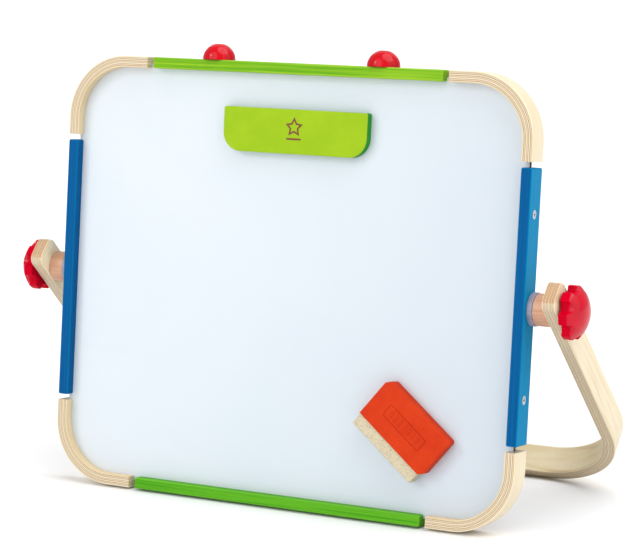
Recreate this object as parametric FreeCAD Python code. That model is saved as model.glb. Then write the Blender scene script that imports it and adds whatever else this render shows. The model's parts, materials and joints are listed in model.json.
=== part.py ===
"""Double-sided tabletop easel for a child.

A magnetic drawing panel (white in front, chalkboard behind) sits in a frame of painted rails and
bent plywood corners. A U-shaped bent plywood stand turns on two clamping knobs near mid-height.

Three working frames are used before everything is placed on the floor, all with X to the right:
  board frame: origin at the middle of the frame's depth and height, Y to the back, Z up the board
  pivot frame: the same directions, but the origin is on the pivot axis, further back and a little lower
  stand frame: origin on the pivot axis, arms hanging straight down along -Z
"""
import FreeCAD, Part
import math
import os

Vec = FreeCAD.Vector
X_AXIS = Vec(1, 0, 0)
Y_AXIS = Vec(0, 1, 0)
Z_AXIS = Vec(0, 0, 1)

# ---- driving dimensions, mm and degrees ----
BOARD_WIDTH = 468.0
BOARD_HEIGHT = 400.0
FRAME_DEPTH = 24.2           # rails and corners, front to back
FRAME_THICK = 10.3           # rails and corners, across the board's edge
CORNER_RADIUS = 58.0         # outer radius of a bent corner
CORNER_LEGS = (82.0, 75.0)   # how far a corner piece reaches along the level and the upright side
RAIL_GAPS = (6.0, 5.0)       # bare panel edge between a rail and a corner piece, level and upright
RAIL_ROUND = 1.6
PLY_ROUND = 1.0
LEAN = 6.2                   # the board leans back by this angle

SKIN_THICK = 0.4             # steel drawing skins
CORE_THICK = 4.2
GROOVE_DEPTH = 4.0
PANEL_BITE = 3.8             # how far the panel enters its groove
GROOVE_SLACK = 0.2

STAND_REACH = 269.0          # pivot axis to the outer face of the cross bar
STAND_BEND = 91.5            # outer bend radius
STAND_TAIL = 28.5            # arm beyond the pivot axis
STAND_WIDTH = 28.5
STAND_THICK = 12.0
STAND_END_ROUND = 8.0

PIVOT_BACK = 7.0             # pivot axis behind the middle of the frame, clear of the groove
PIVOT_DROP = 1.5             # and below its mid-height
BODY_SLACK = 0.1             # free play between faces that turn on each other
FRICTION_DISC_THICK = 5.0
FRICTION_DISC_RADIUS = 14.8
SPACER_LENGTH = 14.0
SPACER_RADIUS = 14.2
PIVOT_BORE_RADIUS = 3.3
STUD_RADIUS = 2.95
INSERT_BORE_RADIUS = 3.0
INSERT_RADIUS = 4.0
INSERT_LENGTH = 8.7
BORE_SLACK = 0.05

KNOB_RADIUS = 23.8
KNOB_FLANK = 8.2
KNOB_DOME = 10.3
KNOB_LOBES = 7
KNOB_SCALLOP_RADIUS = 6.0
KNOB_SCALLOP_OFFSET = 24.8   # scallop centre from the knob axis
KNOB_EDGE_ROUND = 0.7
KNOB_TURN = 13.0             # angle of the first scallop
STUD_IN_KNOB = 10.0
WASHER_RADIUS = 9.0
WASHER_THICK = 1.5

RAIL_SCREW_OFFSET = 80.0     # above and below the middle of the rail
RAIL_SCREW_LENGTH = 24.0
SCREW_HEAD_RADIUS = 4.0
SCREW_SHANK_RADIUS = 1.4
SCREW_SINK = 0.2             # head below the wood
SCREW_CLEARANCE = 0.1
CROSS_SLOT = (4.2, 0.9, 1.3)  # length, width, depth of a cross recess

DOME_RADIUS = 15.0
DOME_HEIGHT = 14.5
DOME_OFFSET = 83.2
DOME_SCREW_LENGTH = 15.0
DOME_SCREW_HEAD_RADIUS = 2.4
DOME_SCREW_HEAD_THICK = 1.2
DOME_SCREW_SHANK_RADIUS = 1.2

CLIP_SIZE = (144.6, 40.0)
CLIP_CENTRE = (3.2, 138.8)   # on the board face, from its middle
CLIP_THICK = 8.8
CLIP_LOWER_RADIUS = 17.5
CLIP_UPPER_RADIUS = 2.0
CLIP_EDGE_ROUND = 1.0
CLIP_MAGNET_SPACING = 84.0

ERASER_SIZE = (80.0, 42.5)
ERASER_CENTRE = (128.5, -113.7)
ERASER_THICK = 12.0
ERASER_ANGLE = 39.3          # long side falls to the right by this angle
ERASER_BEVEL = 3.5           # along the upper long edge
ERASER_CORNERS = (5.0, 2.0, 4.0)  # cut off the upper left, upper right and lower right corners
ERASER_EDGE_ROUND = 0.5
FELT_THICK = 12.0
FELT_INSET = 0.8
FELT_SHORT = 4.2             # felt's right end short of the block's
LABEL_SIZE = (46.0, 13.0)
LABEL_GROOVE = 0.7
LABEL_DEPTH = 0.5

MAGNET_RADIUS = 6.0
MAGNET_THICK = 2.5
MAGNET_SLACK = 0.1

# ---- worked-out dimensions ----
HALF_WIDTH = BOARD_WIDTH / 2
HALF_HEIGHT = BOARD_HEIGHT / 2
PANEL_THICK = CORE_THICK + 2 * SKIN_THICK
GROOVE_WIDTH = PANEL_THICK + GROOVE_SLACK
PANEL_EDGE = FRAME_THICK - PANEL_BITE            # bare frame outside the panel's edge
PANEL_FRONT = -PANEL_THICK / 2
ACCESSORY_BACK = PANEL_FRONT - BODY_SLACK        # clip and eraser against the white face
SPACER_START = HALF_WIDTH + FRICTION_DISC_THICK + 2 * BODY_SLACK
ARM_INNER = SPACER_START + SPACER_LENGTH
ARM_OUTER = ARM_INNER + STAND_THICK
WASHER_START = ARM_OUTER + BODY_SLACK
KNOB_START = WASHER_START + WASHER_THICK + BODY_SLACK / 2


def pivot_height():
    """Height of the pivot axis when the back lower edge of the frame touches the floor."""
    lean = math.radians(LEAN)
    up = (HALF_HEIGHT - PLY_ROUND - PIVOT_DROP) * math.cos(lean)
    return up + (FRAME_DEPTH / 2 - PIVOT_BACK - PLY_ROUND) * math.sin(lean) + PLY_ROUND


def stand_angle():
    """Angle of the arms from straight down when the cross bar's front lower edge touches the floor."""
    along = STAND_REACH - PLY_ROUND
    across = STAND_WIDTH / 2 - PLY_ROUND
    rise = (pivot_height() - PLY_ROUND) / math.hypot(along, across)
    return math.degrees(math.acos(rise) + math.atan2(across, along))


# ---- shape helpers ----
def slab(width, height, radius, y_front, thick, centre=(0, 0)):
    """Upright plate with rounded corners; radius is one value or (lower, upper)."""
    lower, upper = radius if isinstance(radius, tuple) else (radius, radius)
    plate = Part.makeBox(width, thick, height, Vec(-width / 2, y_front, -height / 2))
    for level, size in ((-1, lower), (1, upper)):
        edges = edges_where(plate, lambda e: along_y(e) and e.CenterOfMass.z * level > 0)
        plate = plate.makeFillet(size, edges)
    plate.translate(Vec(centre[0], 0, centre[1]))
    return plate


def along_y(edge):
    first, last = edge.Vertexes[0].Point, edge.Vertexes[-1].Point
    return abs(last.y - first.y) > 0.1 and abs(last.x - first.x) + abs(last.z - first.z) < 1e-6


def edges_where(shape, test):
    return [edge for edge in shape.Edges if test(edge)]


def disc_x(radius, start, length, y=0.0, z=0.0):
    """Cylinder along X from start, towards +X for a positive length."""
    return Part.makeCylinder(radius, abs(length), Vec(min(start, start + length), y, z), X_AXIS)


def cut_all(shape, tools):
    for tool in tools:
        shape = shape.cut(tool)
    return shape


def mirrored(shape):
    return shape.mirror(Vec(0, 0, 0), X_AXIS)


def pairs(makers):
    """Right-hand pieces and their mirror images, named by prefix and side."""
    nodes = {}
    for prefix, make_right in makers.items():
        nodes[prefix + "right"] = make_right()
        nodes[prefix + "left"] = mirrored(nodes[prefix + "right"])
    return nodes


# ---- frame of the board ----
def panel_layer(y_front, thick):
    width = BOARD_WIDTH - 2 * PANEL_EDGE
    height = BOARD_HEIGHT - 2 * PANEL_EDGE
    return slab(width, height, CORNER_RADIUS - PANEL_EDGE, y_front, thick)


def make_panel():
    core = panel_layer(-CORE_THICK / 2, CORE_THICK)
    pilot_reach = RAIL_SCREW_LENGTH + 1.0
    for side in (-1, 1):
        for level in (-1, 1):
            hole = disc_x(SCREW_SHANK_RADIUS + BORE_SLACK, side * HALF_WIDTH, -side * pilot_reach,
                          z=level * RAIL_SCREW_OFFSET)
            core = core.cut(hole)
    return {
        "whiteboard_skin": panel_layer(PANEL_FRONT, SKIN_THICK),
        "panel_core": core,
        "chalkboard_skin": panel_layer(CORE_THICK / 2, SKIN_THICK),
    }


def edge_ring(depth_from, depth_to, y_front, thick):
    """Band that follows the board's outline between two distances in from its edge."""
    bands = []
    for inset in (depth_from, depth_to):
        bands.append(slab(BOARD_WIDTH - 2 * inset, BOARD_HEIGHT - 2 * inset,
                          CORNER_RADIUS - inset, y_front, thick))
    return bands[0].cut(bands[1])


def on_outline(edge):
    """True for the long outer edges of a bent corner piece, front and back."""
    box = edge.BoundBox
    if box.YLength > 1e-4:
        return False
    if isinstance(edge.Curve, Part.Circle):
        return abs(edge.Curve.Radius - CORNER_RADIUS) < 1e-3
    on_side = abs(abs(edge.CenterOfMass.x) - HALF_WIDTH) < 1e-4 and box.XLength < 1e-4
    on_top = abs(abs(edge.CenterOfMass.z) - HALF_HEIGHT) < 1e-4 and box.ZLength < 1e-4
    return on_side or on_top


def make_corners():
    ring = edge_ring(0, FRAME_THICK, -FRAME_DEPTH / 2, FRAME_DEPTH)
    groove = edge_ring(FRAME_THICK - GROOVE_DEPTH, FRAME_THICK + 1, -GROOVE_WIDTH / 2, GROOVE_WIDTH)
    level_leg, upright_leg = CORNER_LEGS
    window = Part.makeBox(level_leg, FRAME_DEPTH, upright_leg,
                          Vec(HALF_WIDTH - level_leg, -FRAME_DEPTH / 2, HALF_HEIGHT - upright_leg))
    strip = ring.common(window)
    strip = strip.makeFillet(PLY_ROUND, edges_where(strip, on_outline))
    top_right = strip.cut(groove)
    flipped = top_right.mirror(Vec(0, 0, 0), Z_AXIS)
    return {
        "corner_top_right": top_right,
        "corner_top_left": mirrored(top_right),
        "corner_bottom_right": flipped,
        "corner_bottom_left": mirrored(flipped),
    }


def level_rail():
    """Upper rail, with the panel's groove along its underside."""
    length = BOARD_WIDTH - 2 * (CORNER_LEGS[0] + RAIL_GAPS[0])
    bottom = HALF_HEIGHT - FRAME_THICK
    rail = Part.makeBox(length, FRAME_DEPTH, FRAME_THICK, Vec(-length / 2, -FRAME_DEPTH / 2, bottom))
    rail = rail.makeFillet(RAIL_ROUND, rail.Edges)
    groove = Part.makeBox(length + 2, GROOVE_WIDTH, GROOVE_DEPTH + 1,
                          Vec(-length / 2 - 1, -GROOVE_WIDTH / 2, bottom - 1))
    return rail.cut(groove)


def upright_rail():
    """Right-hand rail, grooved, drilled for its two screws and for the threaded insert."""
    length = BOARD_HEIGHT - 2 * (CORNER_LEGS[1] + RAIL_GAPS[1])
    inner = HALF_WIDTH - FRAME_THICK
    rail = Part.makeBox(FRAME_THICK, FRAME_DEPTH, length, Vec(inner, -FRAME_DEPTH / 2, -length / 2))
    rail = rail.makeFillet(RAIL_ROUND, rail.Edges)
    groove = Part.makeBox(GROOVE_DEPTH + 1, GROOVE_WIDTH, length + 2,
                          Vec(inner - 1, -GROOVE_WIDTH / 2, -length / 2 - 1))
    tools = [groove]
    tools.append(disc_x(INSERT_RADIUS + BORE_SLACK, HALF_WIDTH, -FRAME_THICK - 1,
                        y=PIVOT_BACK, z=-PIVOT_DROP))
    for level in (-1, 1):
        tools.append(disc_x(SCREW_SHANK_RADIUS + SCREW_CLEARANCE, HALF_WIDTH, -FRAME_THICK,
                            z=level * RAIL_SCREW_OFFSET))
        tools.append(screw_cone(level * RAIL_SCREW_OFFSET, SCREW_CLEARANCE))
    return cut_all(rail, tools)


# ---- fasteners ----
def screw_cone(z, extra):
    """Countersink in the right rail; extra widens it around the head."""
    mouth = SCREW_HEAD_RADIUS + extra
    tip = SCREW_SHANK_RADIUS + extra
    cone = Part.makeCone(mouth, tip, mouth - tip, Vec(HALF_WIDTH - SCREW_SINK, 0, z), -X_AXIS)
    if extra == 0:
        return cone
    return cone.fuse(disc_x(mouth, HALF_WIDTH + 1, -1 - SCREW_SINK, z=z))


def cross_recess(x_face, z):
    length, width, depth = CROSS_SLOT
    tall = Part.makeBox(depth, width, length, Vec(x_face - depth, -width / 2, z - length / 2))
    wide = Part.makeBox(depth, length, width, Vec(x_face - depth, -length / 2, z - width / 2))
    return tall.fuse(wide)


def rail_screws():
    """Two countersunk wood screws through the right rail into the panel's core."""
    screws = []
    for level in (-1, 1):
        z = level * RAIL_SCREW_OFFSET
        face = HALF_WIDTH - SCREW_SINK
        shank = disc_x(SCREW_SHANK_RADIUS, face - 0.5, -RAIL_SCREW_LENGTH + 2.0, z=z)
        tip = Part.makeCone(SCREW_SHANK_RADIUS, 0.3, 1.5,
                            Vec(face - 0.5 - RAIL_SCREW_LENGTH + 2.0, 0, z), -X_AXIS)
        screw = screw_cone(z, 0).fuse(shank).fuse(tip).removeSplitter()
        screws.append(screw.cut(cross_recess(face, z)))
    return Part.makeCompound(screws)


def threaded_insert():
    return ring_x(INSERT_RADIUS, INSERT_BORE_RADIUS, HALF_WIDTH - INSERT_LENGTH, INSERT_LENGTH)


def make_domes():
    """Half-balls on the upper rail, each held by a screw from inside the groove."""
    nodes = {}
    screws = []
    groove_floor = HALF_HEIGHT - FRAME_THICK + GROOVE_DEPTH
    for side, name in ((-1, "left"), (1, "right")):
        x = side * DOME_OFFSET
        ball = Part.makeSphere(DOME_RADIUS, Vec(x, 0, HALF_HEIGHT))
        keep = Part.makeBox(40, 40, DOME_HEIGHT, Vec(x - 20, -20, HALF_HEIGHT))
        hole = Part.makeCylinder(DOME_SCREW_SHANK_RADIUS + BORE_SLACK, DOME_SCREW_LENGTH,
                                 Vec(x, 0, groove_floor))
        nodes["top_dome_" + name] = ball.common(keep).cut(hole)
        head = Part.makeCylinder(DOME_SCREW_HEAD_RADIUS, DOME_SCREW_HEAD_THICK, Vec(x, 0, groove_floor))
        shank = Part.makeCylinder(DOME_SCREW_SHANK_RADIUS, DOME_SCREW_LENGTH - 1, Vec(x, 0, groove_floor))
        screws.append(head.fuse(shank).removeSplitter())
    nodes["dome_screws"] = Part.makeCompound(screws)
    return nodes


def dome_screw_holes():
    holes = []
    for side in (-1, 1):
        base = Vec(side * DOME_OFFSET, 0, HALF_HEIGHT - FRAME_THICK + GROOVE_DEPTH)
        holes.append(Part.makeCylinder(DOME_SCREW_SHANK_RADIUS + BORE_SLACK, FRAME_THICK, base))
        holes.append(Part.makeCylinder(DOME_SCREW_HEAD_RADIUS + BORE_SLACK,
                                       DOME_SCREW_HEAD_THICK + BORE_SLACK, base))
    return holes


# ---- pivot pieces, right-hand side, in the pivot frame ----
def ring_x(radius, bore, start, length, edge_round=0.0):
    ring = disc_x(radius, start, length)
    if edge_round:
        ring = ring.makeFillet(edge_round, edges_where(ring, lambda e: isinstance(e.Curve, Part.Circle)))
    return ring.cut(disc_x(bore, start - 1, length + 2))


def friction_disc():
    return ring_x(FRICTION_DISC_RADIUS, PIVOT_BORE_RADIUS, HALF_WIDTH + BODY_SLACK,
                  FRICTION_DISC_THICK, 0.5)


def spacer():
    return ring_x(SPACER_RADIUS, PIVOT_BORE_RADIUS, SPACER_START, SPACER_LENGTH, 0.6)


def knob_washer():
    return ring_x(WASHER_RADIUS, PIVOT_BORE_RADIUS, WASHER_START, WASHER_THICK)


def knob():
    """Seven-lobed star knob with a domed face."""
    start = KNOB_START
    rim = start + KNOB_FLANK
    body = disc_x(KNOB_RADIUS, start, KNOB_FLANK + KNOB_DOME)
    ball_radius = (KNOB_RADIUS ** 2 + KNOB_DOME ** 2) / (2 * KNOB_DOME)
    body = body.common(Part.makeSphere(ball_radius, Vec(rim + KNOB_DOME - ball_radius, 0, 0)))
    for lobe in range(KNOB_LOBES):
        angle = math.radians(KNOB_TURN + lobe * 360.0 / KNOB_LOBES)
        y = -KNOB_SCALLOP_OFFSET * math.cos(angle)
        z = KNOB_SCALLOP_OFFSET * math.sin(angle)
        body = body.cut(disc_x(KNOB_SCALLOP_RADIUS, start - 1, KNOB_FLANK + KNOB_DOME + 2, y, z))
    body = body.makeFillet(KNOB_EDGE_ROUND, edges_where(body, lambda e: e.Length > 1.0))
    return body.cut(disc_x(STUD_RADIUS, start - 1, STUD_IN_KNOB + 1))


def knob_stud():
    end = HALF_WIDTH - INSERT_LENGTH + 0.5
    stud = disc_x(STUD_RADIUS, end, KNOB_START + STUD_IN_KNOB - end)
    tip = edges_where(stud, lambda e: isinstance(e.Curve, Part.Circle) and abs(e.CenterOfMass.x - end) < 0.01)
    return stud.makeChamfer(0.6, tip)


# ---- stand ----
def bow_outline(half_width, reach, bend, top):
    """Solid U silhouette down to reach below the pivot, with two rounded lower corners."""
    blank = Part.makeBox(2 * half_width, STAND_WIDTH, reach + top, Vec(-half_width, -STAND_WIDTH / 2, -reach))
    lower = edges_where(blank, lambda e: along_y(e) and e.CenterOfMass.z < 0)
    return blank.makeFillet(bend, lower)


def stand_bow():
    outer = bow_outline(ARM_OUTER, STAND_REACH, STAND_BEND, STAND_TAIL)
    inner = bow_outline(ARM_INNER, STAND_REACH - STAND_THICK, STAND_BEND - STAND_THICK, STAND_TAIL + 1)
    bow = outer.cut(inner)
    ends = edges_where(bow, lambda e: abs(e.CenterOfMass.z - STAND_TAIL) < 1e-4
                       and e.BoundBox.YLength < 1e-4)
    bow = bow.makeFillet(STAND_END_ROUND, ends)
    bow = bow.makeFillet(PLY_ROUND, bow.Edges)
    return bow.cut(disc_x(PIVOT_BORE_RADIUS, -ARM_OUTER - 1, 2 * ARM_OUTER + 2))


# ---- things held on the white face by magnets ----
def magnet_at(x, z, extra=0.0):
    return Part.makeCylinder(MAGNET_RADIUS + extra, MAGNET_THICK + extra,
                             Vec(x, ACCESSORY_BACK - MAGNET_SLACK + extra, z), -Y_AXIS)


def make_clip():
    front = ACCESSORY_BACK - CLIP_THICK
    plate = slab(CLIP_SIZE[0], CLIP_SIZE[1], (CLIP_LOWER_RADIUS, CLIP_UPPER_RADIUS), front, CLIP_THICK,
                 CLIP_CENTRE)
    rim = edges_where(plate, lambda e: e.BoundBox.YLength < 1e-4 and abs(e.CenterOfMass.y - front) < 1e-4)
    plate = plate.makeFillet(CLIP_EDGE_ROUND, rim)
    magnets = []
    for side in (-1, 1):
        x = CLIP_CENTRE[0] + side * CLIP_MAGNET_SPACING / 2
        plate = plate.cut(magnet_at(x, CLIP_CENTRE[1], MAGNET_SLACK + BORE_SLACK))
        magnets.append(magnet_at(x, CLIP_CENTRE[1]))
    return {"clip_plate": plate, "clip_magnets": Part.makeCompound(magnets)}


def make_eraser():
    """Block and felt, built level and then turned on the board face."""
    length, width = ERASER_SIZE
    front = ACCESSORY_BACK - ERASER_THICK
    block = Part.makeBox(length, ERASER_THICK, width, Vec(-length / 2, front, -width / 2))
    for cut, side, level in zip(ERASER_CORNERS, (-1, 1, 1), (1, 1, -1)):
        corner = edges_where(block, lambda e: along_y(e) and e.CenterOfMass.x * side > length / 2 - 0.1
                             and e.CenterOfMass.z * level > width / 2 - 0.1)
        block = block.makeChamfer(cut, corner)
    upper = edges_where(block, lambda e: e.CenterOfMass.z > width / 2 - 0.1
                        and abs(e.CenterOfMass.y - front) < 0.1)
    block = block.makeChamfer(ERASER_BEVEL, upper)
    rim = edges_where(block, lambda e: abs(e.CenterOfMass.y - front) < 1e-4 and e.BoundBox.YLength < 1e-4)
    block = block.makeFillet(ERASER_EDGE_ROUND, rim)
    outer = slab(LABEL_SIZE[0], LABEL_SIZE[1], 1.5, front, LABEL_DEPTH)
    inner = slab(LABEL_SIZE[0] - 2 * LABEL_GROOVE, LABEL_SIZE[1] - 2 * LABEL_GROOVE, 0.8, front, LABEL_DEPTH)
    block = block.cut(outer.cut(inner))
    block = block.cut(magnet_at(0, 0, MAGNET_SLACK + BORE_SLACK))
    felt = Part.makeBox(length - FELT_INSET - FELT_SHORT, ERASER_THICK - FELT_INSET - 0.1, FELT_THICK,
                        Vec(-length / 2 + FELT_INSET, front + FELT_INSET, -width / 2 - FELT_THICK))
    nodes = {"eraser_block": block, "eraser_felt": felt, "eraser_magnet": magnet_at(0, 0)}
    for shape in nodes.values():
        shape.rotate(Vec(0, 0, 0), Y_AXIS, ERASER_ANGLE)
        shape.translate(Vec(ERASER_CENTRE[0], 0, ERASER_CENTRE[1]))
    return nodes


# ---- assembly ----
def frame_nodes():
    """What is modelled in the board frame, moved into the pivot frame."""
    nodes = {}
    nodes.update(make_panel())
    nodes.update(make_corners())
    upper = level_rail()
    nodes["rail_bottom"] = upper.mirror(Vec(0, 0, 0), Z_AXIS)
    nodes["rail_top"] = cut_all(upper, dome_screw_holes())
    nodes.update(make_domes())
    nodes.update(make_clip())
    nodes.update(make_eraser())
    nodes.update(pairs({"rail_": upright_rail, "rail_screws_": rail_screws}))
    for shape in nodes.values():
        shape.translate(Vec(0, -PIVOT_BACK, PIVOT_DROP))
    return nodes


def clamp_nodes():
    return pairs({
        "threaded_insert_": threaded_insert,
        "friction_disc_": friction_disc,
        "knob_washer_": knob_washer,
        "knob_": knob,
        "knob_stud_": knob_stud,
    })


def stand_nodes():
    return {"stand_bow": stand_bow(), **pairs({"spacer_": spacer})}


def place_on_floor(board, stand):
    """Lean the board, swing the stand back and centre the whole over the origin."""
    placed = {}
    for nodes, angle in ((board, -LEAN), (stand, stand_angle())):
        for name, shape in nodes.items():
            shape.rotate(Vec(0, 0, 0), X_AXIS, angle)
            shape.translate(Vec(0, 0, pivot_height()))
            placed[name] = shape
    box = Part.makeCompound(list(placed.values())).optimalBoundingBox()
    pivot_y = -(box.YMin + box.YMax) / 2
    for shape in placed.values():
        shape.translate(Vec(0, pivot_y, 0))
    return placed, pivot_y


board = {**frame_nodes(), **clamp_nodes()}
placed_nodes, pivot_y = place_on_floor(board, stand_nodes())
os.makedirs("parts", exist_ok=True)
for node_name, node_shape in placed_nodes.items():
    node_shape.exportStep("parts/" + node_name + ".step")
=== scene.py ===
"""Looks of the double-sided tabletop easel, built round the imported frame. Metres throughout.

The CAD nodes keep their shapes and get layered materials: bent plywood whose plies follow each bend,
painted wood, dry-wipe enamel, chalkboard coating, lacquer, moulded plastic and plated steel. New pieces
are the eraser's felt with its loose fibres, its grip bars, and a plain star on the clip.
"""
import json
import math
import random

import bmesh
import bpy
from mathutils import Matrix, Vector, noise


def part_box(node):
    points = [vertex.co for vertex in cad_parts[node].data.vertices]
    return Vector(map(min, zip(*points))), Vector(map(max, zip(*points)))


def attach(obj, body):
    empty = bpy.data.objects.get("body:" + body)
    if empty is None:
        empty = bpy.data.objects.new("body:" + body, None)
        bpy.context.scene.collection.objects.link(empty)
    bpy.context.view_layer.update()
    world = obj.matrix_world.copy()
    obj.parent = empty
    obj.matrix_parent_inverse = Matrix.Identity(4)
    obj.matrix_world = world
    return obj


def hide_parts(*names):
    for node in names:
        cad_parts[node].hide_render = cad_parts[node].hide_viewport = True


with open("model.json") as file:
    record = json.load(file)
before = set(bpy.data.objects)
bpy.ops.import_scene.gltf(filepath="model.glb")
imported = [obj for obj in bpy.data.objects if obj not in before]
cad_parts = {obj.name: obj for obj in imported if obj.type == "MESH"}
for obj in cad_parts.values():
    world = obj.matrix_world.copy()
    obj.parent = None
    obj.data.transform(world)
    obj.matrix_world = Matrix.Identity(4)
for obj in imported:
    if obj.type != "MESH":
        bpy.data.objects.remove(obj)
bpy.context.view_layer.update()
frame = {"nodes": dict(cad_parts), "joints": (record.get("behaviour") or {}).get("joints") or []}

nodes = frame["nodes"]
joints = {joint["name"]: joint for joint in frame["joints"]}
MM = 0.001
X_AXIS = Vector((1, 0, 0))

# ---- camera ----
CAMERA_AZIMUTH = 27.566      # degrees round to the right of straight ahead
CAMERA_ELEVATION = 9.783
CAMERA_DISTANCE = 2.3112
CAMERA_LENS = 140.9
CAMERA_TARGET = Vector((-0.0188, 0.0, 0.1920))

# ---- light: strength, azimuth, elevation and width across, in degrees, of each distant lamp ----
WORLD_STRENGTH = 0.46
LAMPS = {
    "key": (1.32, -18.0, 26.0, 60.0),
    "key_core": (0.4, -42.0, 30.0, 12.0),
    "right_fill": (0.62, 88.0, 25.0, 60.0),
    "top_fill": (2.1, 95.0, 66.0, 60.0),
    "rear_fill": (0.4, 200.0, 35.0, 60.0),
}

# ---- shapes, as drawn ----
CORNER_BEND = 0.058
CORNER_PLIES = 7
STAND_BEND = 0.0915
STAND_THICK = 0.012
STAND_PLIES = 9
BOW_FAR_PART = 0.93          # points this far out along the bow show which way its arms point
END_FACET = 1.6 * MM         # height of the rough ends of the stand's arms
PAINT_EDGE = 1.8 * MM        # rounded edge of a rail, where its paint is thin
NOWHERE = 1.0                # a place beyond the board's right edge
KNOB_DOME = 0.0103
ERASER_ANGLE = 39.3          # degrees the eraser is turned down at its right


def srgb(red, green, blue):
    """Linear colour of an 8-bit screen colour."""
    linear = []
    for level in (red, green, blue):
        part = level / 255
        linear.append(part / 12.92 if part <= 0.04045 else ((part + 0.055) / 1.055) ** 2.4)
    return (*linear, 1.0)


# ---- local frames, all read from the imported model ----
def middle(name):
    low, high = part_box(name)
    return (low + high) / 2


def placed(origin, x, y, z):
    """Matrix of a local frame from its origin and its three directions."""
    matrix = Matrix((x, y, z)).transposed().to_4x4()
    matrix.translation = origin
    return matrix


def local_box(name, matrix):
    """Lowest and highest corner of a CAD node in a local frame."""
    inverse = matrix.inverted()
    points = [inverse @ vertex.co for vertex in nodes[name].data.vertices]
    low = Vector([min(point[i] for point in points) for i in range(3)])
    high = Vector([max(point[i] for point in points) for i in range(3)])
    return low, high


def arm_direction(pivot):
    """Unit direction from the pivot axis down the stand's arms, from the far end of the bow."""
    offsets = []
    for vertex in nodes["stand_bow"].data.vertices:
        offset = vertex.co - pivot
        offset.x = 0
        offsets.append(offset)
    reach = max(offset.length for offset in offsets)
    far = [offset for offset in offsets if offset.length > BOW_FAR_PART * reach]
    return sum(far, Vector()).normalized()


front = Vector(joints["clip_lift"]["axis"]).normalized()
board = placed(middle("panel_core"), X_AXIS, -front, front.cross(X_AXIS))
pivot = Vector(joints["stand_fold"]["pos_m"])
stand_up = -arm_direction(pivot)
stand = placed(pivot, X_AXIS, stand_up.cross(X_AXIS), stand_up)
eraser_turn = math.radians(ERASER_ANGLE)
eraser_along = X_AXIS * math.cos(eraser_turn) - front.cross(X_AXIS) * math.sin(eraser_turn)
eraser = placed(middle("eraser_magnet"), eraser_along, -front, front.cross(eraser_along))


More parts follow.
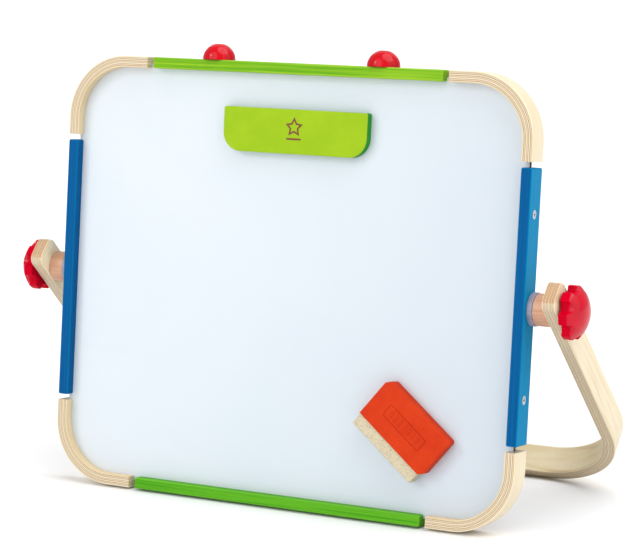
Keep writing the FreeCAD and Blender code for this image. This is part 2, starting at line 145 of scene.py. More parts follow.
# ---- procedural materials ----
class Surface:
    """A node material under construction, with its coordinates in a local frame."""

    def __init__(self, name, matrix=Matrix()):
        self.material = bpy.data.materials.new(name)
        self.material.use_nodes = True
        tree = self.material.node_tree
        self.nodes, self.links = tree.nodes, tree.links
        self.nodes.clear()
        self.shader = self.nodes.new("ShaderNodeBsdfPrincipled")
        output = self.nodes.new("ShaderNodeOutputMaterial")
        self.links.new(self.shader.outputs["BSDF"], output.inputs["Surface"])
        source = self.nodes.new("ShaderNodeTexCoord")
        mapping = self.nodes.new("ShaderNodeMapping")
        inverse = matrix.inverted()
        mapping.inputs["Rotation"].default_value = inverse.to_euler()
        mapping.inputs["Location"].default_value = inverse.translation
        self.links.new(source.outputs["Object"], mapping.inputs["Vector"])
        self.place = mapping.outputs["Vector"]
        split = self.nodes.new("ShaderNodeSeparateXYZ")
        self.links.new(self.place, split.inputs[0])
        self.x, self.y, self.z = split.outputs

    def put(self, socket, value):
        if isinstance(value, bpy.types.NodeSocket):
            self.links.new(value, socket)
        else:
            socket.default_value = value

    def set(self, **values):
        """Shader inputs by name, with _ for a space."""
        for name, value in values.items():
            self.put(self.shader.inputs[name.replace("_", " ")], value)
        return self

    def math(self, operation, *values):
        node = self.nodes.new("ShaderNodeMath")
        node.operation = operation
        for socket, value in zip(node.inputs, values):
            self.put(socket, value)
        return node.outputs[0]

    def vector(self, x, y, z):
        node = self.nodes.new("ShaderNodeCombineXYZ")
        for socket, value in zip(node.inputs, (x, y, z)):
            self.put(socket, value)
        return node.outputs[0]

    def stretched(self, x, y, z):
        """The local place with each axis scaled by so many features a metre."""
        node = self.nodes.new("ShaderNodeVectorMath")
        node.operation = "MULTIPLY"
        self.put(node.inputs[0], self.place)
        node.inputs[1].default_value = (x, y, z)
        return node.outputs[0]

    def noise(self, vector, scale=1.0, detail=3.0, roughness=0.55, distortion=0.0):
        node = self.nodes.new("ShaderNodeTexNoise")
        self.put(node.inputs["Vector"], vector)
        for name, value in (("Scale", scale), ("Detail", detail), ("Roughness", roughness),
                            ("Distortion", distortion)):
            node.inputs[name].default_value = value
        return node.outputs[0]

    def random(self, value):
        node = self.nodes.new("ShaderNodeTexWhiteNoise")
        node.noise_dimensions = "1D"
        self.put(node.inputs["W"], value)
        return node.outputs["Value"]

    def between(self, value, low, high, start=0.0, end=1.0):
        """value from low..high, spread smoothly over start..end."""
        node = self.nodes.new("ShaderNodeMapRange")
        node.interpolation_type = "SMOOTHSTEP"
        for socket, item in zip(node.inputs, (value, low, high, start, end)):
            self.put(socket, item)
        return node.outputs[0]

    def mix(self, factor, first, second, blend="MIX"):
        node = self.nodes.new("ShaderNodeMix")
        node.data_type = "RGBA"
        node.blend_type = blend
        colours = [socket for socket in node.inputs if socket.type == "RGBA"]
        self.put(node.inputs[0], factor)
        self.put(colours[0], first)
        self.put(colours[1], second)
        return [socket for socket in node.outputs if socket.type == "RGBA"][0]

    def bump(self, height, distance, strength=1.0):
        node = self.nodes.new("ShaderNodeBump")
        node.inputs["Strength"].default_value = strength
        node.inputs["Distance"].default_value = distance
        self.put(node.inputs["Height"], height)
        self.links.new(node.outputs[0], self.shader.inputs["Normal"])

    def depth_in(self, half_width, reach, radius, both_ends):
        """Distance in from a rounded outline in the local XZ plane, and a measure along it."""
        across = self.math("SUBTRACT", self.math("ABSOLUTE", self.x), half_width - radius)
        below = self.math("ABSOLUTE", self.z) if both_ends else self.math("MULTIPLY", self.z, -1.0)
        down = self.math("SUBTRACT", below, reach - radius)
        a = self.math("MAXIMUM", across, 0.0)
        b = self.math("MAXIMUM", down, 0.0)
        corner = self.math("SQRT", self.math("ADD", self.math("MULTIPLY", a, a), self.math("MULTIPLY", b, b)))
        inside = self.math("MINIMUM", self.math("MAXIMUM", across, down), 0.0)
        depth = self.math("SUBTRACT", radius, self.math("ADD", corner, inside))
        return depth, self.math("SUBTRACT", across, down)


VENEER = srgb(228, 215, 186)
VENEER_DARK = srgb(219, 202, 166)
PLY_LIGHT = srgb(220, 205, 178)
PLY_CROSS = srgb(211, 192, 160)
GLUE_LINE = srgb(124, 94, 62)
END_GRAIN = srgb(232, 202, 180)


def bent_ply(name, matrix, outline, thickness, plies, top, hollow):
    """Birch plywood bent round an outline: veneer on its faces, plies and glue lines on its edges.

    Above the height top the cut end is rough, pinkish end grain. The veneer in the hollow of the bend
    takes the two tones given as hollow: painted light in the stand, painted shade in the corners.
    """
    s = Surface(name, matrix)
    depth, along = s.depth_in(*outline)
    layer = s.math("DIVIDE", depth, thickness / plies)
    waves = s.vector(s.math("MULTIPLY", along, 30.0), s.math("MULTIPLY", s.y, 120.0), 0.0)
    wobble = s.noise(waves, detail=2.0)
    layer = s.math("ADD", layer, s.between(wobble, 0.2, 0.8, -0.04, 0.04))
    ply = s.math("FLOOR", layer)
    nearest = s.math("ROUND", layer)
    gap = s.math("ABSOLUTE", s.math("SUBTRACT", layer, nearest))
    inner = s.math("MULTIPLY", s.between(layer, 0.45, 0.8),
                   s.between(layer, plies - 0.8, plies - 0.45, 1.0, 0.0))
    line = s.math("MULTIPLY", s.between(gap, 0.07, 0.2, 1.0, 0.0), inner)
    line = s.math("MULTIPLY", line, s.between(s.random(nearest), 0.0, 1.0, 0.6, 1.0))
    cross = s.math("MODULO", s.math("ADD", ply, 20.0), 2.0)
    grain = s.noise(s.vector(s.math("MULTIPLY", along, 9.0), s.math("MULTIPLY", s.y, 420.0),
                             s.math("MULTIPLY", layer, 3.0)), detail=4.0, distortion=0.6)
    figure = s.noise(s.vector(s.math("MULTIPLY", along, 5.0), s.math("MULTIPLY", s.y, 55.0), layer),
                     detail=2.0, distortion=1.8)
    pores = s.noise(s.vector(s.math("MULTIPLY", along, 1500.0), s.math("MULTIPLY", s.y, 1500.0),
                             s.math("MULTIPLY", layer, 3.0)), detail=1.0)
    face = s.mix(s.between(grain, 0.35, 0.72), VENEER, VENEER_DARK)
    # painted light and shade: the hollow's veneer, lighter in the stand and darker in the corners
    hollow_face = s.mix(s.between(figure, 0.3, 0.6), *hollow)
    face = s.mix(s.between(layer, plies - 1.0, plies - 0.6), face, hollow_face)
    face = s.mix(s.between(figure, 0.52, 0.72, 0.0, 0.5), face, srgb(202, 174, 130))
    end_grain = s.mix(s.between(pores, 0.45, 0.7), PLY_CROSS, srgb(194, 167, 133))
    long_grain = s.mix(s.between(grain, 0.3, 0.75), PLY_LIGHT, VENEER_DARK)
    inside = s.mix(cross, long_grain, end_grain)
    colour = s.mix(inner, face, inside)
    colour = s.mix(line, colour, GLUE_LINE)
    rough = s.between(pores, 0.35, 0.7, 0.55, 1.0)
    cut_end = s.math("MULTIPLY", s.between(s.z, top, top + 0.8 * MM), rough)
    colour = s.mix(cut_end, colour, END_GRAIN, "MULTIPLY")
    s.set(Base_Color=colour, Roughness=s.between(grain, 0.2, 0.8, 0.38, 0.52))
    s.set(Coat_Weight=0.12, Coat_Roughness=0.3, Specular_IOR_Level=0.3)
    height = s.math("SUBTRACT", s.math("MULTIPLY", grain, 0.35), s.math("MULTIPLY", line, 0.9))
    height = s.math("SUBTRACT", height, s.math("MULTIPLY", s.math("MULTIPLY", pores, cross), inner))
    s.bump(height, 0.09 * MM, 0.8)
    return s.material


def painted_wood(name, low, high, along, colour, shade, worn_edge_and_side_light, painted_side_light, painted_shade_from):
    """Satin paint over a rail that runs along one axis of the board, between two corners.

    It lets fine lengthwise grain through and thins on the rounded edges. On the side far from the board's
    middle the paint is mixed toward the edge tone, a painted light. Toward the right end it is mixed toward
    the streak tone, a painted shade.
    """
    s = Surface(name, board)
    scale = [620.0, 620.0, 620.0]
    scale[along] = 7.0
    fine = s.noise(s.stretched(*scale), detail=4.0, roughness=0.6, distortion=0.25)
    scale = [110.0, 110.0, 110.0]
    scale[along] = 2.5
    broad = s.noise(s.stretched(*scale), detail=2.0, distortion=0.5)
    specks = s.noise(s.place, 2600.0, 2.0)
    thin = 0.0
    for axis, value in enumerate((s.x, s.y, s.z)):
        centre = (low[axis] + high[axis]) / 2
        half = (high[axis] - low[axis]) / 2
        offset = s.math("ABSOLUTE", s.math("SUBTRACT", value, centre))
        near = s.between(offset, half - PAINT_EDGE, half)
        thin = s.math("ADD", thin, near)
    thin = s.between(s.math("ADD", thin, s.math("MULTIPLY", fine, 0.4)), 1.25, 1.9)
    painted = s.mix(s.between(fine, 0.42, 0.66, 0.0, 0.9), colour, shade)
    painted = s.mix(s.between(broad, 0.45, 0.7, 0.0, 0.55), painted, shade)
    # painted shade: the paint darkens toward the streak tone to the right of this point
    painted = s.mix(s.between(s.x, painted_shade_from, painted_shade_from + 0.12, 0.0, 0.75), painted, shade)
    painted = s.mix(s.math("MULTIPLY", thin, 0.35), painted, worn_edge_and_side_light)
    reach = max(abs(low.x), abs(high.x))
    # painted light: the outer side is mixed toward the edge tone
    outer = s.between(s.math("ABSOLUTE", s.x), reach - 0.7 * MM, reach - 0.1 * MM, 0.0, painted_side_light)
    s.set(Base_Color=s.mix(outer, painted, worn_edge_and_side_light))
    s.set(Roughness=s.between(fine, 0.3, 0.7, 0.42, 0.56), Specular_IOR_Level=0.05)
    height = s.math("ADD", s.math("MULTIPLY", fine, -0.8), s.math("MULTIPLY", specks, 0.15))
    s.bump(height, 0.07 * MM, 0.7)
    return s.material


def gloss(name, colour, shade, roughness, coat, matrix=Matrix(), polished_from=0.0):
    """Lacquer or moulded plastic: soft colour clouds, faint waviness and fine handling marks.

    Nearer the middle than polished_from the surface is left matte.
    """
    s = Surface(name, matrix)
    clouds = s.noise(s.place, 60.0, 3.0)
    marks = s.noise(s.stretched(160.0, 900.0, 420.0), detail=4.0, distortion=1.5)
    wave = s.noise(s.place, 140.0, 1.0)
    s.set(Base_Color=s.mix(s.between(clouds, 0.35, 0.7), colour, shade))
    s.set(Roughness=s.between(marks, 0.45, 0.75, roughness, roughness + 0.1))
    polish = s.between(s.math("ABSOLUTE", s.x), polished_from - 0.8 * MM, polished_from + 0.8 * MM)
    s.set(Coat_Weight=s.math("MULTIPLY", polish, coat), Coat_Roughness=0.08)
    s.set(Specular_IOR_Level=s.math("MULTIPLY_ADD", polish, 0.1, 0.02))
    s.bump(s.math("ADD", wave, s.math("MULTIPLY", marks, 0.06)), 0.12 * MM, 0.5)
    return s.material


def dry_wipe(name):
    """White enamel, orange-peel surface, ghosts of wiped-off strokes and painted shade to the lower right."""
    s = Surface(name, board)
    cloud = s.noise(s.place, 5.0, 3.0, distortion=0.8)
    wiped = s.noise(s.stretched(9.0, 1.0, 46.0), detail=4.0, distortion=1.4)
    smear = s.math("MULTIPLY", s.between(wiped, 0.52, 0.74), s.between(cloud, 0.42, 0.68))
    peel = s.noise(s.place, 900.0, 1.0)
    base = s.mix(s.between(cloud, 0.3, 0.75), srgb(208, 215, 220), srgb(204, 212, 218))
    # painted shade: the enamel darkens toward the right and a little toward the bottom
    base = s.mix(s.between(s.math("MULTIPLY_ADD", s.z, -0.4, s.x), -0.2, 0.4), base, srgb(188, 197, 205))
    s.set(Base_Color=s.mix(s.math("MULTIPLY", smear, 0.07), base, srgb(184, 197, 209)))
    s.set(Roughness=s.between(wiped, 0.35, 0.7, 0.28, 0.33), Specular_IOR_Level=0.35)
    s.bump(peel, 0.02 * MM, 0.5)
    return s.material


def chalk_coat(name):
    """Charcoal chalkboard coating, dusted where chalk was wiped about."""
    s = Surface(name, board)
    arcs = s.noise(s.stretched(6.0, 1.0, 15.0), detail=7.0, roughness=0.6, distortion=0.7)
    patch = s.noise(s.place, 4.5, 2.0, distortion=0.6)
    grit = s.noise(s.place, 2400.0, 2.0, 0.7)
    dust = s.math("MULTIPLY", s.between(arcs, 0.38, 0.85), s.between(patch, 0.3, 0.7, 0.25, 1.0))
    dust = s.math("MULTIPLY", dust, s.between(grit, 0.35, 0.65, 0.55, 1.0))
    base = s.mix(s.between(grit, 0.3, 0.7), srgb(44, 49, 50), srgb(60, 66, 66))
    s.set(Base_Color=s.mix(s.math("MULTIPLY", dust, 0.26), base, srgb(196, 202, 200)))
    s.set(Roughness=s.between(dust, 0.0, 1.0, 0.72, 0.92), Specular_IOR_Level=0.3)
    s.bump(grit, 0.05 * MM, 0.7)
    return s.material


def hardboard(name):
    s = Surface(name, board)
    fibre = s.noise(s.stretched(500.0, 2600.0, 500.0), detail=4.0, distortion=1.0)
    s.set(Base_Color=s.mix(s.between(fibre, 0.35, 0.65), srgb(74, 56, 42), srgb(128, 98, 72)), Roughness=0.85)
    s.bump(fibre, 0.15 * MM)
    return s.material


def beech(name):
    """Turned beech, with its short dark flecks along the axis of the piece."""
    s = Surface(name, stand)
    streak = s.noise(s.stretched(30.0, 420.0, 420.0), detail=4.0, distortion=0.4)
    fleck = s.noise(s.stretched(260.0, 2200.0, 2200.0), detail=1.0)
    turned = s.noise(s.stretched(2600.0, 20.0, 20.0), detail=1.0)
    wood = s.mix(s.between(streak, 0.32, 0.7), srgb(200, 152, 122), srgb(186, 136, 106))
    wood = s.mix(s.between(fleck, 0.6, 0.7, 0.0, 0.6), wood, srgb(156, 104, 74))
    s.set(Base_Color=wood, Roughness=s.between(streak, 0.3, 0.7, 0.42, 0.55), Coat_Weight=0.1)
    s.bump(s.math("ADD", s.math("MULTIPLY", turned, 0.4), s.math("MULTIPLY", fleck, -0.6)), 0.06 * MM, 0.7)
    return s.material


def clear_plastic(name):
    """Cloudy soft plastic that lets some light through."""
    s = Surface(name)
    cloud = s.noise(s.place, 240.0, 3.0)
    s.set(Base_Color=s.mix(s.between(cloud, 0.3, 0.7), srgb(190, 186, 204), srgb(164, 160, 182)))
    s.set(Roughness=s.between(cloud, 0.3, 0.7, 0.28, 0.42), Transmission_Weight=0.45, IOR=1.46)
    s.bump(cloud, 0.06 * MM, 0.5)
    return s.material


def metal(name, colour, tint, roughness, direction):
    """Plated or turned metal with fine tool lines across one direction."""
    s = Surface(name)
    scale = [60.0, 60.0, 60.0]
    scale[direction] = 4200.0
    lines = s.noise(s.stretched(*scale), detail=2.0)
    stain = s.noise(s.place, 420.0, 3.0)
    s.set(Base_Color=s.mix(s.between(stain, 0.4, 0.7), colour, tint), Metallic=1.0)
    s.set(Roughness=s.between(lines, 0.3, 0.7, roughness, roughness + 0.16))
    s.bump(lines, 0.02 * MM, 0.5)
    return s.material


def clip_paint(name):
    """Lime paint on a smooth board; its sawn sides get a painted shade, the face's edge a painted highlight.
    """
    s = Surface(name, board)
    face = local_box("clip_plate", board)[0].y
    # the clip's sides, which get a painted shade
    side = s.between(s.y, face + 0.5 * MM, face + 1.5 * MM)
    cloud = s.noise(s.place, 45.0, 3.0)
    fibre = s.noise(s.stretched(900.0, 2600.0, 900.0), detail=3.0)
    stipple = s.noise(s.place, 1500.0, 2.0)
    lime = s.mix(s.between(cloud, 0.3, 0.7), srgb(150, 184, 20), srgb(142, 178, 16))
    # painted highlight: a lighter lime band on the sides just behind the face
    rim = s.math("MULTIPLY", s.between(s.y, face + 0.1 * MM, face + 0.5 * MM), 0.5)
    lime = s.mix(rim, lime, srgb(176, 202, 60))
    # painted shade: the sawn sides are a deeper green
    painted_side_shade = s.mix(s.between(fibre, 0.3, 0.7), srgb(30, 150, 34), srgb(18, 122, 26))
    s.set(Base_Color=s.mix(side, lime, painted_side_shade), Roughness=s.between(stipple, 0.3, 0.7, 0.4, 0.52))
    s.set(Specular_IOR_Level=0.12)
    s.bump(s.math("ADD", s.math("MULTIPLY", stipple, 0.5), s.math("MULTIPLY", fibre, side)), 0.05 * MM, 0.6)
    return s.material


def orange_block(name):
    """Matte moulded plastic with a fine pebbled skin."""
    s = Surface(name, eraser)
    cloud = s.noise(s.place, 60.0, 3.0)
    pebble = s.noise(s.place, 2100.0, 2.0, 0.6)
    rub = s.noise(s.stretched(160.0, 500.0, 500.0), detail=3.0)
    base = s.mix(s.between(cloud, 0.3, 0.7), srgb(200, 54, 8), srgb(192, 47, 6))
    s.set(Base_Color=s.mix(s.between(rub, 0.6, 0.8, 0.0, 0.3), base, srgb(222, 92, 44)))
    s.set(Roughness=s.between(pebble, 0.3, 0.7, 0.5, 0.66), Specular_IOR_Level=0.12)
    s.bump(pebble, 0.06 * MM, 0.7)
    return s.material


def felt_wool(name):
    """Pressed felt: pale layers with flecks of darker wool."""
    s = Surface(name, eraser)
    fibres = s.noise(s.place, 1300.0, 4.0, 0.7, 2.5)
    flecks = s.noise(s.place, 900.0, 3.0, 0.65, 0.8)
    wool = s.mix(s.between(fibres, 0.3, 0.7), srgb(218, 207, 180), srgb(196, 182, 150))
    wool = s.mix(s.between(flecks, 0.5, 0.66, 0.0, 0.85), wool, srgb(158, 142, 112))
    s.set(Base_Color=wool, Roughness=0.95, Specular_IOR_Level=0.15)
    s.set(Sheen_Weight=0.25, Sheen_Roughness=0.5)
    s.bump(s.math("ADD", fibres, flecks), 0.25 * MM)
    return s.material


def printed_ink(name):
    s = Surface(name, board)
    patch = s.noise(s.place, 900.0, 3.0)
    s.set(Base_Color=s.mix(s.between(patch, 0.4, 0.75), srgb(104, 38, 8), srgb(124, 54, 14)), Roughness=0.55)
    s.bump(patch, 0.02 * MM, 0.5)
    return s.material


# Axis of the grain, paint, its streaks, its thin edge and lit side, painted light on the outer side,
# where a painted shade starts toward the right.
BLUE_RAIL = (2, srgb(0, 86, 142), srgb(0, 74, 127), srgb(2, 130, 176), 0.9, NOWHERE)
RAIL_LOOKS = {
    "rail_top": (0, srgb(140, 184, 38), srgb(88, 154, 24), srgb(164, 200, 70), 0.0, 0.1),
    "rail_bottom": (0, srgb(90, 165, 32), srgb(60, 140, 22), srgb(130, 190, 70), 0.0, NOWHERE),
    "rail_left": BLUE_RAIL,
    "rail_right": BLUE_RAIL,
}
# painted shade: the corners' hollow veneer is a darker tan
CORNER_HOLLOW_PAINTED_SHADE = (srgb(222, 202, 164), srgb(212, 188, 146))
# painted light: the stand's hollow veneer is lighter, standing in for light reaching the hollow
STAND_HOLLOW_PAINTED_LIGHT = (srgb(248, 232, 196), srgb(238, 216, 172))


def paint_node(names, material):
    for name in names:
        slots = nodes[name].data.materials
        slots.clear()
        slots.append(material)


def outer_reach(name):
    """How far a CAD node goes out from the middle plane."""
    low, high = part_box(name)
    return max(-low.x, high.x)


def both(prefix):
    return [prefix + "left", prefix + "right"]


def dress_wood():
    """Plies that follow each bend, and painted rails with the grain along them."""
    corner_high = local_box("corner_top_right", board)[1]
    rail_low, rail_high = local_box("rail_top", board)
    outline = (corner_high.x, corner_high.z, CORNER_BEND, True)
    corner_ply = bent_ply("corner_ply", board, outline, rail_high.z - rail_low.z, CORNER_PLIES, NOWHERE,
                          CORNER_HOLLOW_PAINTED_SHADE)
    paint_node(both("corner_top_") + both("corner_bottom_"), corner_ply)
    bow_low, bow_high = local_box("stand_bow", stand)
    outline = (bow_high.x, -bow_low.z, STAND_BEND, False)
    stand_ply = bent_ply("stand_ply", stand, outline, STAND_THICK, STAND_PLIES, bow_high.z - END_FACET,
                         STAND_HOLLOW_PAINTED_LIGHT)
    paint_node(["stand_bow"], stand_ply)
    for name, look in RAIL_LOOKS.items():
        paint_node([name], painted_wood(name + "_paint", *local_box(name, board), *look))
    paint_node(both("spacer_"), beech("spacer_beech"))


def dress_rest():
    """Every other CAD node."""
    paint_node(["whiteboard_skin"], dry_wipe("dry_wipe_enamel"))
    paint_node(["chalkboard_skin"], chalk_coat("chalk_coating"))
    paint_node(["panel_core"], hardboard("panel_hardboard"))
    paint_node(both("top_dome_"), gloss("dome_lacquer", srgb(198, 0, 22), srgb(182, 0, 16), 0.2, 0.25, board))
    rim = outer_reach("knob_right") - KNOB_DOME
    paint_node(both("knob_"),
               gloss("knob_plastic", srgb(198, 0, 34), srgb(186, 0, 30), 0.3, 0.35, polished_from=rim))
    paint_node(both("friction_disc_"), clear_plastic("disc_plastic"))
    zinc = metal("zinc_plate", srgb(208, 210, 214), srgb(184, 188, 198), 0.24, 0)
    paint_node(both("rail_screws_") + both("knob_washer_") + both("knob_stud_") + ["dome_screws"], zinc)
    brass = metal("turned_brass", srgb(224, 190, 118), srgb(198, 160, 92), 0.26, 0)
    paint_node(both("threaded_insert_"), brass)
    paint_node(["clip_magnets", "eraser_magnet"],
               metal("nickel_plate", srgb(172, 172, 176), srgb(140, 140, 146), 0.3, 1))
    paint_node(["clip_plate"], clip_paint("clip_lime"))
    paint_node(["eraser_block"], orange_block("eraser_orange"))


# ---- new pieces ----
def piece(name, mesh, material, body):
    """A mesh in the row frame that rides on a body."""
    thing = bpy.data.objects.new(name, mesh)
    bpy.context.scene.collection.objects.link(thing)
    mesh.materials.clear()
    mesh.materials.append(material)
    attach(thing, body)
    return thing


def applied(thing):
    """A new mesh of the object with its modifiers applied; the object itself goes."""
    graph = bpy.context.evaluated_depsgraph_get()
    made = bpy.data.meshes.new_from_object(thing.evaluated_get(graph))
    bpy.data.objects.remove(thing)
    return made


def bridge(mesh, first, second):
    """Four-sided faces between two rings of as many points."""
    for corner in range(len(first)):
        after = (corner + 1) % len(first)
        mesh.faces.new((first[corner], first[after], second[after], second[corner]))


def finished(mesh, name):
    """Blender mesh data of a closed shape, facing outward."""
    bmesh.ops.recalc_face_normals(mesh, faces=mesh.faces)
    data = bpy.data.meshes.new(name)
    mesh.to_mesh(data)
    mesh.free()
    return data


FELT_VOXEL = 0.6 * MM
FELT_TUFTS = ((1.6, 0.16), (0.7, 0.12))      # size and height of the fuzz, in mm
FELT_SINK = 0.1


def felt_pad():
    """The CAD felt's block, remeshed finely, with a fuzzy surface."""
    thing = bpy.data.objects.new("felt_work", nodes["eraser_felt"].data.copy())
    bpy.context.scene.collection.objects.link(thing)
    remesh = thing.modifiers.new("voxels", "REMESH")
    remesh.mode = "VOXEL"
    remesh.voxel_size = FELT_VOXEL
    soften = thing.modifiers.new("soften", "SMOOTH")
    soften.factor = 0.6
    soften.iterations = 5
    mesh = applied(thing)
    inverse = eraser.inverted()
    for vertex in mesh.vertices:
        local = inverse @ vertex.co
        tuft = sum(noise.noise(local / (size * MM)) * height for size, height in FELT_TUFTS)
        vertex.co += vertex.normal * (tuft - FELT_SINK) * MM
    for face in mesh.polygons:
        face.use_smooth = True
    pad = piece("eraser_felt_pad", mesh, felt_wool("felt_wool"), "eraser")
    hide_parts("eraser_felt")
    return pad


FIBRE_COUNT = 1400
FIBRE_RADIUS = 0.035 * MM
FIBRE_LENGTHS = (0.8, 2.2)       # mm
FIBRE_LIFTS = (0.05, 0.45)       # mm off the felt at mid-length
FIBRE_BEND = 0.9
FIBRE_STEPS = 3
FIBRE_SIDES = 3
FIBRE_SINK = 0.02 * MM
FIBRE_TAPER = (1.15, 0.6)        # thickness at the root, and how much is gone at the tip
FIBRE_ARCH = (0.15, 0.7)         # part of a half wave that a hair follows: its start and its share


def felt_fibres(pad):
    """Loose wool hairs that lie over the pad's sides, as thin three-sided tubes."""
    rng = random.Random(7)
    mesh = bmesh.new()
    faces = pad.data.polygons
    for _ in range(FIBRE_COUNT):
        face = faces[rng.randrange(len(faces))]
        normal = face.normal.copy()
        heading = Vector([rng.uniform(-1, 1) for _ in range(3)])
        heading = (heading - normal * heading.dot(normal)).normalized()
        side = normal.cross(heading)
        length = rng.uniform(*FIBRE_LENGTHS) * MM
        bend = rng.uniform(-FIBRE_BEND, FIBRE_BEND)
        lift = rng.uniform(*FIBRE_LIFTS) * MM
        rings = []
        for step in range(FIBRE_STEPS + 1):
            part = step / FIBRE_STEPS
            swing = bend * part * part * length
            point = face.center + heading * length * (part - 0.5) + side * swing
            arch = math.sin(math.pi * (FIBRE_ARCH[0] + FIBRE_ARCH[1] * part))
            point = point + normal * (lift * arch - FIBRE_SINK)
            ring = []
            for corner in range(FIBRE_SIDES):
                angle = math.tau * corner / FIBRE_SIDES
                offset = side * math.cos(angle) + normal * math.sin(angle)
                taper = FIBRE_TAPER[0] - FIBRE_TAPER[1] * part
                ring.append(mesh.verts.new(point + offset * FIBRE_RADIUS * taper))
            rings.append(ring)
        for lower, upper in zip(rings, rings[1:]):
            bridge(mesh, lower, upper)
        mesh.faces.new(reversed(rings[0]))
        mesh.faces.new(rings[-1])
    data = bpy.data.meshes.new("eraser_felt_fibres")
    mesh.to_mesh(data)
    mesh.free()
    return piece("eraser_felt_fibres", data, pad.data.materials[0], "eraser")


MARK_RELIEF = 0.08 * MM
MARK_SINK = 0.02 * MM
STAR_POINTS = 5
STAR_RISE = 4.0 * MM                   # star's centre above the middle of the clip
STAR_OUTER = (9.2 * MM, 4.7 * MM)      # tips and valleys of the star's outer edge
STAR_INNER = (5.8 * MM, 2.9 * MM)      # and of the edge inside
BAR_RISE = -6.5 * MM
BAR_SIZE = (15.0 * MM, 1.7 * MM)
BAR_SIDES = 32


def star_outline(outer, inner):
    ring = []
    for corner in range(2 * STAR_POINTS):
        radius = inner if corner % 2 else outer
        angle = math.pi / 2 + math.pi * corner / STAR_POINTS
        ring.append((radius * math.cos(angle), radius * math.sin(angle)))
    return ring


def capsule(length, width):
    """Outline of a level bar with round ends."""
    ring = []
    for step in range(BAR_SIDES):
        angle = math.tau * (step + 0.5) / BAR_SIDES
        shift = (length - width) / 2 * (1 if math.cos(angle) > 0 else -1)
        ring.append((shift + width / 2 * math.cos(angle), width / 2 * math.sin(angle)))
    return ring


def printed(mesh, centre, outline, hole=()):
    """A thin printed shape inside an outline, or the band between it and a hole in it."""
    loops = []
    for shape, rises in ((outline, (MARK_SINK, -MARK_RELIEF)), (hole, (-MARK_RELIEF, MARK_SINK))):
        for rise in rises:
            loops.append([mesh.verts.new(board @ (centre + Vector((x, rise, z)))) for x, z in shape])
    base, top, hole_top, hole_base = loops
    bridge(mesh, base, top)
    if hole:
        bridge(mesh, top, hole_top)
        bridge(mesh, hole_top, hole_base)
        bridge(mesh, hole_base, base)
    else:
        mesh.faces.new(base)
        mesh.faces.new(top)


def clip_star():
    """A plain outlined star over a short bar, printed in the middle of the clip."""
    low, high = local_box("clip_plate", board)
    centre = Vector(((low.x + high.x) / 2, low.y, (low.z + high.z) / 2))
    mesh = bmesh.new()
    star_centre = centre + Vector((0, 0, STAR_RISE))
    printed(mesh, star_centre, star_outline(*STAR_OUTER), star_outline(*STAR_INNER))
    printed(mesh, centre + Vector((0, 0, BAR_RISE)), capsule(*BAR_SIZE))
    data = finished(mesh, "clip_star")
    return piece("clip_star", data, printed_ink("star_ink"), "clip")


GRIP_BARS = 7
GRIP_PITCH = 5.4 * MM
GRIP_SIZE = (2.0 * MM, 7.4 * MM)
GRIP_RELIEF = 0.6 * MM
GRIP_SIDES = 24
GRIP_PROFILE = ((0.0, -0.05), (0.0, 0.25), (0.12, 0.62), (0.42, 0.92), (0.75, 1.0))   # inset, rise


def grip_bars():
    """Low rounded bars in the eraser's frame, where a finger presses."""
    block_low, block_high = local_box("eraser_block", eraser)
    face = block_low.y
    middle_x = (block_low.x + block_high.x) / 2
    middle_z = (block_low.z + block_high.z) / 2
    mesh = bmesh.new()
    half_width, half_length = GRIP_SIZE[0] / 2, GRIP_SIZE[1] / 2
    for bar in range(GRIP_BARS):
        x = middle_x + (bar - (GRIP_BARS - 1) / 2) * GRIP_PITCH
        rings = []
        for inset, rise in GRIP_PROFILE:
            ring = []
            for corner in range(GRIP_SIDES):
                angle = math.tau * corner / GRIP_SIDES
                radius = half_width * (1 - inset)
                shift = (half_length - half_width) * (1 if math.sin(angle) >= 0 else -1)
                local = Vector((x + radius * math.cos(angle), face - rise * GRIP_RELIEF,
                                middle_z + shift + radius * math.sin(angle)))
                ring.append(mesh.verts.new(eraser @ local))
            rings.append(ring)
        for lower, upper in zip(rings, rings[1:]):
            bridge(mesh, lower, upper)
        mesh.faces.new(rings[-1])
        mesh.faces.new(reversed(rings[0]))
    data = finished(mesh, "eraser_grip_bars")
    for polygon in data.polygons:
        polygon.use_smooth = len(polygon.vertices) == 4
    orange = nodes["eraser_block"].data.materials[0]
    return piece("eraser_grip_bars", data, orange, "eraser")


# ---- stage ----
FLOOR_REACH = 40.0


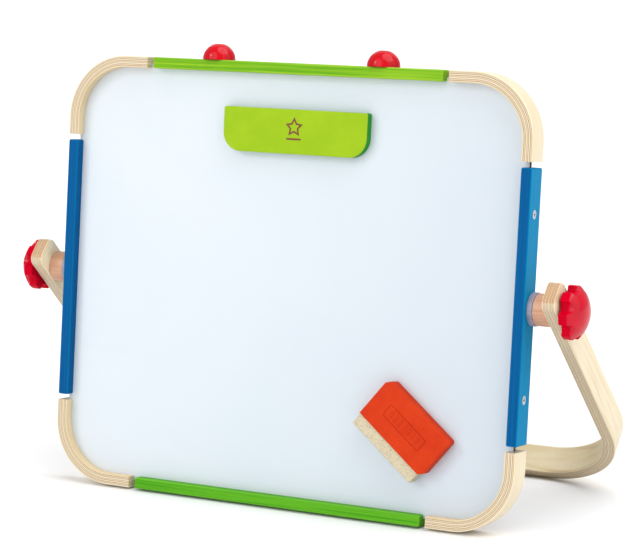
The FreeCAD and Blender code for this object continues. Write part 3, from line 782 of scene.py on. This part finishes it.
def add_camera():
    azimuth, elevation = math.radians(CAMERA_AZIMUTH), math.radians(CAMERA_ELEVATION)
    back = Vector((math.sin(azimuth) * math.cos(elevation), -math.cos(azimuth) * math.cos(elevation),
                   math.sin(elevation)))
    camera = bpy.data.objects.new("camera", bpy.data.cameras.new("camera"))
    bpy.context.scene.collection.objects.link(camera)
    camera.data.lens = CAMERA_LENS
    camera.data.sensor_width = 36.0
    camera.location = CAMERA_TARGET + back * CAMERA_DISTANCE
    camera.rotation_mode = "QUATERNION"
    camera.rotation_quaternion = (-back).to_track_quat("-Z", "Y")
    bpy.context.scene.camera = camera


def add_floor():
    """A wide, pale, faintly mottled floor."""
    mesh = bpy.data.meshes.new("floor")
    far = FLOOR_REACH
    mesh.from_pydata([(-far, -far, 0), (far, -far, 0), (far, far, 0), (-far, far, 0)], [], [(0, 1, 2, 3)])
    floor = bpy.data.objects.new("floor", mesh)
    bpy.context.scene.collection.objects.link(floor)
    s = Surface("floor_paper")
    mottle = s.noise(s.place, 3.0, 3.0)
    s.set(Base_Color=s.mix(mottle, srgb(240, 240, 241), srgb(236, 236, 237)), Roughness=0.7)
    mesh.materials.append(s.material)


def add_lamp(name, strength, azimuth, elevation, width):
    """A distant soft lamp that shines on the easel from an azimuth and elevation in degrees."""
    lamp = bpy.data.lights.new(name, "SUN")
    lamp.energy = strength
    lamp.angle = math.radians(width)
    turn, rise = math.radians(azimuth), math.radians(elevation)
    back = Vector((math.sin(turn) * math.cos(rise), -math.cos(turn) * math.cos(rise), math.sin(rise)))
    thing = bpy.data.objects.new(name, lamp)
    bpy.context.scene.collection.objects.link(thing)
    thing.location = back * 3.0
    thing.rotation_mode = "QUATERNION"
    thing.rotation_quaternion = (-back).to_track_quat("-Z", "Y")


def add_lights():
    world = bpy.data.worlds.new("studio")
    world.use_nodes = True
    world.node_tree.nodes["Background"].inputs[0].default_value = (0.98, 0.99, 1.0, 1.0)
    world.node_tree.nodes["Background"].inputs[1].default_value = WORLD_STRENGTH
    bpy.context.scene.world = world
    for name, values in LAMPS.items():
        add_lamp(name, *values)


def use_plain_colours():
    settings = bpy.context.scene.view_settings
    settings.view_transform = "Standard"
    settings.look = "None"


add_camera()
add_floor()
add_lights()
use_plain_colours()
dress_wood()
dress_rest()
felt = felt_pad()
felt_fibres(felt)
clip_star()
grip_bars()
